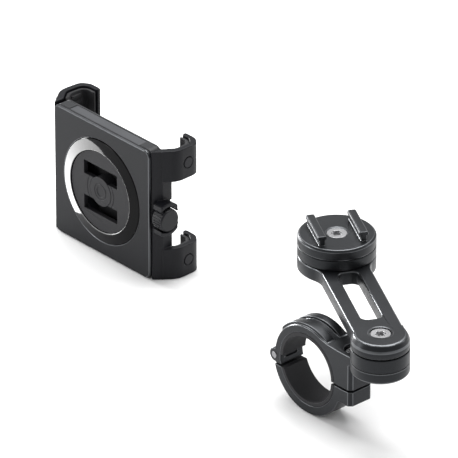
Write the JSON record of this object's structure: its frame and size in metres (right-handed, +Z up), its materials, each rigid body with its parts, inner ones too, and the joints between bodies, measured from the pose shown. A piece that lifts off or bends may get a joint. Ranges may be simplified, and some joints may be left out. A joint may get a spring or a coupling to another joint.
{
  "type": "phone handlebar mount",
  "caption": "Two-part phone mount: handlebar clamp with swinging arm and rail head, and a square jaw clamp for a phone, undocked.",
  "frame": {"origin": "centre of the handlebar bore, midway along the clamp ring", "axes": "+Y along the handlebar, +Z up out of the swivel boss, +X from the bore towards the boss"},
  "size_m": [0.2678, 0.067, 0.0704],
  "materials": {
    "anodised": "bead-blasted dark grey anodised aluminium with bright cut chamfers",
    "bright_screw": "stainless steel, countersunk, six-lobe drive",
    "dark_steel": "plain steel",
    "rubber": "soft matt black rubber",
    "plate_black": "satin charcoal moulding",
    "gloss_black": "polished gloss black",
    "socket_black": "matt charcoal",
    "housing_black": "satin black moulding",
    "panel_grey": "fine-textured grey inlay",
    "jaw_black": "satin black glass-filled moulding",
    "plug_black": "matt black",
    "strip_silver": "plain satin strip without lettering",
    "brass": "turned brass, hidden inside",
    "knob_black": "satin black knurled knob"
  },
  "bodies": {
    "bar_clamp": {"bar_clamp_upper": "anodised", "hinge_pin": "dark_steel", "clamp_washer": "dark_steel", "upper_liner": "rubber", "pivot_disc": "anodised", "pivot_washer": "dark_steel", "pivot_screw": "bright_screw"},
    "lower_clamp": {"bar_clamp_lower": "anodised", "lower_liner": "rubber"},
    "clamp_screw": {"clamp_screw": "bright_screw"},
    "clamp_nut": {"clamp_nut": "dark_steel"},
    "arm": {"arm": "anodised"},
    "head": {"head_base": "anodised", "head_plate": "anodised", "head_washer": "dark_steel", "head_screw": "bright_screw", "head_nut": "dark_steel"},
    "phone_clamp": {"back_plate": "plate_black", "gloss_ring": "gloss_black", "socket_disc": "socket_black", "socket_hub": "socket_black", "lock_spring": "dark_steel", "clamp_housing": "housing_black", "top_panel": "panel_grey", "bottom_panel": "panel_grey", "phone_plate": "housing_black", "phone_mat": "rubber", "name_strip": "strip_silver", "housing_screws": "dark_steel", "left_jaw": "jaw_black", "left_upper_pad": "rubber", "left_lower_pad": "rubber", "left_plugs": "plug_black", "spindle_nut": "brass"},
    "right_jaw": {"right_jaw": "jaw_black", "right_upper_pad": "rubber", "right_lower_pad": "rubber", "right_plugs": "plug_black"},
    "knob": {"spindle": "dark_steel", "spindle_clip": "dark_steel", "knob_barrel": "knob_black", "knob_cap": "knob_black"}
  },
  "joints": [
    {"name": "bar_hinge", "type": "hinge", "parent": "bar_clamp", "child": "lower_clamp", "pos_m": [-0.0214, 0, -0.0012], "axis": [0, 1, 0], "range_deg": [0, 4]},
    {"name": "clamp_screw_turn", "type": "hinge", "parent": "bar_clamp", "child": "clamp_screw", "pos_m": [0.0229, 0, 0], "axis": [0, 0, 1], "range_deg": [0, 1790]},
    {"name": "clamp_nut_slide", "type": "slide", "parent": "bar_clamp", "child": "clamp_nut", "axis": [0, 0, -1], "range_m": [0, 0.0036]},
    {"name": "arm_swivel", "type": "hinge", "parent": "bar_clamp", "child": "arm", "pos_m": [0.0404, 0, 0.0297], "axis": [0, 0, 1], "continuous": true},
    {"name": "head_swivel", "type": "hinge", "parent": "arm", "child": "head", "pos_m": [-0.0267, 0.03568, 0.038], "axis": [0, 0, 1], "continuous": true},
    {"name": "clamp_lift", "type": "slide", "parent": "bar_clamp", "child": "phone_clamp", "axis": [0, 0, 1], "range_m": [0, 0.05]},
    {"name": "jaw_slide", "type": "slide", "parent": "phone_clamp", "child": "right_jaw", "axis": [1, 0, 0], "range_m": [0, 0.011]},
    {"name": "knob_turn", "type": "hinge", "parent": "right_jaw", "child": "knob", "pos_m": [-0.1389, 0.0262, 0.0115], "axis": [1, 0, 0], "range_deg": [0, 2645]}
  ],
  "couplings": [
    {"joint": "clamp_screw_turn", "follows": "bar_hinge", "ratio": 444.3},
    {"joint": "clamp_nut_slide", "follows": "bar_hinge", "m_per_rad": 0.0495},
    {"joint": "knob_turn", "follows": "jaw_slide", "rad_per_m": 4188.8}
  ]
}
